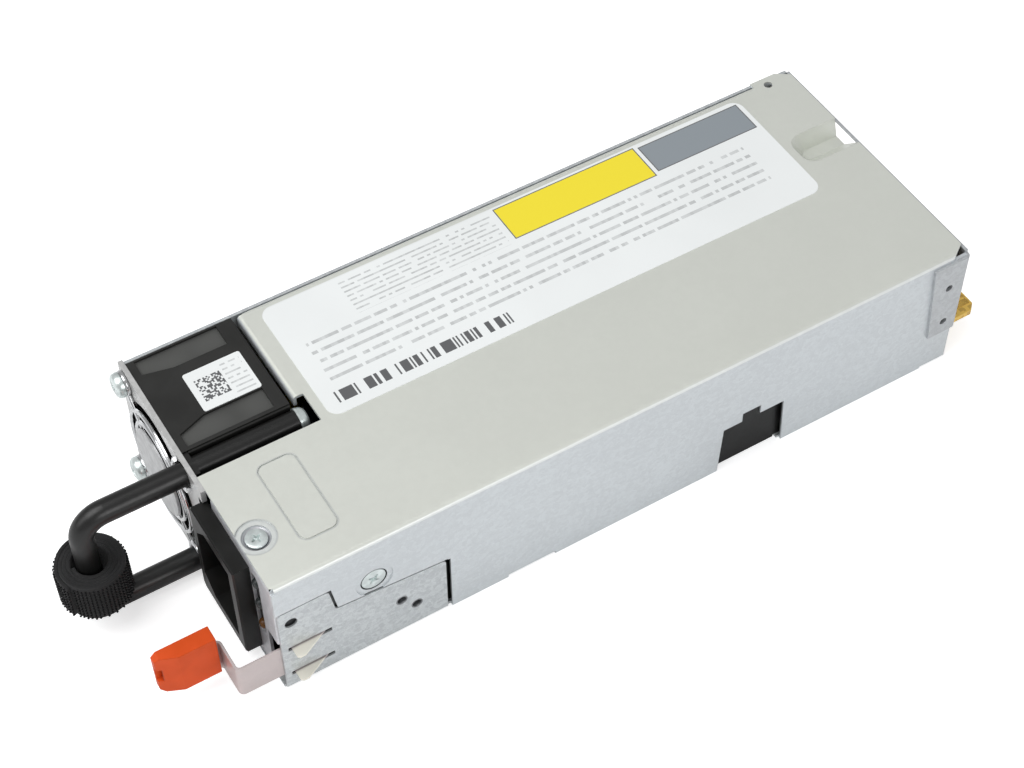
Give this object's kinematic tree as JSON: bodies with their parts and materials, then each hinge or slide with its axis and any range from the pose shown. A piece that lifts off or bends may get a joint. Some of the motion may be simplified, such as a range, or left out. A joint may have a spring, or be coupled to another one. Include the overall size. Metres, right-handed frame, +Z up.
{
  "type": "hot swap server power supply",
  "caption": "Slim folded-steel power supply module with fan, mains inlet, rod handle with strap, spring latch with grip, and edge card at the rear.",
  "frame": {"origin": "centre of the underside of the case, measured on the case alone", "axes": "+Y from the handle end to the connector end, +X to the latch side, +Z up through the labelled roof"},
  "size_m": [0.0764, 0.2298, 0.0391],
  "materials": {
    "cover_zinc": "pale zinc-coated sheet, satin",
    "pan_zinc": "galvanised sheet with a fine spangle",
    "front_zinc": "pale zinc-coated sheet, satin",
    "plate_nickel": "light plated steel, satin",
    "strip_steel": "bright spring steel, satin",
    "black_plastic": "moulded black, fine matt",
    "fan_grey": "moulded dark grey, fine matt",
    "inlet_grey": "moulded dark grey, smooth",
    "handle_black": "black powder coat",
    "chrome_wire": "bright plated wire",
    "disc_grey": "light grey, smooth and bare",
    "screw_zinc": "blue-white zinc plate",
    "strap_black": "black hook-and-loop tape",
    "pin_nickel": "nickel plate",
    "clear_lens": "clear moulded lens",
    "amber_lens": "amber lens, unlit",
    "orange_grip": "moulded orange, fine matt",
    "board_green": "solder mask",
    "card_tan": "bare board edge under gold strips",
    "contact_gold": "hard gold plate",
    "copper": "bare copper",
    "wire_enamel": "enamelled copper wire",
    "ferrite": "dark ferrite, matt",
    "sleeve_dark": "shrunk sleeve",
    "can_silver": "bare can",
    "sink_metal": "extruded, bare",
    "film_yellow": "moulded case",
    "relay_dark": "moulded case",
    "ceramic_blue": "lacquered disc",
    "chip_black": "moulded package",
    "bearing_steel": "ground steel",
    "magnet_dark": "bonded magnet",
    "label_white": "printed film, bare but for colour blocks",
    "film_black": "insulating film"
  },
  "bodies": {
    "case": {"base_pan": "pan_zinc", "top_cover": "cover_zinc", "cover_screws": "screw_zinc", "front_panel": "front_zinc", "rear_panel": "pan_zinc", "insulating_film": "film_black", "fan_housing": "fan_grey", "fan_bearings": "bearing_steel", "fan_stator": "wire_enamel", "fan_circuit": "board_green", "fan_label": "label_white", "fan_plate": "plate_nickel", "finger_guard": "chrome_wire", "guard_disc": "disc_grey", "fan_screws": "screw_zinc", "handle": "handle_black", "handle_washers": "screw_zinc", "handle_screws": "screw_zinc", "inlet_body": "inlet_grey", "inlet_power_pins": "pin_nickel", "inlet_earth_pin": "pin_nickel", "filter_board": "board_green", "safety_capacitors": "ceramic_blue", "light_holder": "black_plastic", "light_pipes": "clear_lens", "fault_lamp": "amber_lens", "status_chips": "can_silver", "light_board": "board_green", "latch_root": "strip_steel", "latch_rivets": "screw_zinc", "main_board": "board_green", "board_posts": "can_silver", "board_screws": "screw_zinc", "output_card": "card_tan", "card_contacts": "contact_gold", "copper_bars": "copper", "bulk_capacitor": "sleeve_dark", "capacitor_rest": "black_plastic", "boost_choke": "wire_enamel", "choke_base": "black_plastic", "filter_choke": "wire_enamel", "film_capacitor": "film_yellow", "relay": "relay_dark", "fuse": "relay_dark", "transformer_core": "ferrite", "transformer_winding": "wire_enamel", "transformer_bobbin": "black_plastic", "heat_sink_left": "sink_metal", "heat_sink_right": "sink_metal", "control_board": "board_green", "control_chips": "chip_black", "output_capacitors": "can_silver", "rating_label": "label_white"},
    "rotor": {"fan_rotor": "black_plastic", "fan_shaft": "bearing_steel", "fan_magnet": "magnet_dark"},
    "latch": {"latch_spring": "strip_steel", "latch_grip": "orange_grip"},
    "strap": {"cable_strap": "strap_black"}
  },
  "joints": [
    {"name": "fan_spin", "type": "hinge", "parent": "case", "child": "rotor", "pos_m": [-0.01805, -0.0804, 0.01975], "axis": [0, 1, 0], "continuous": true},
    {"name": "latch_flex", "type": "hinge", "parent": "case", "child": "latch", "pos_m": [0.03535, -0.0645, 0.0101], "axis": [0, 0, -1], "range_deg": [0, 7.2], "stiffness_Nm_per_rad": 2.4},
    {"name": "strap_turn", "type": "hinge", "parent": "case", "child": "strap", "pos_m": [-0.00295, -0.1191, 0.0148], "axis": [0, 0, 1], "continuous": true}
  ]
}
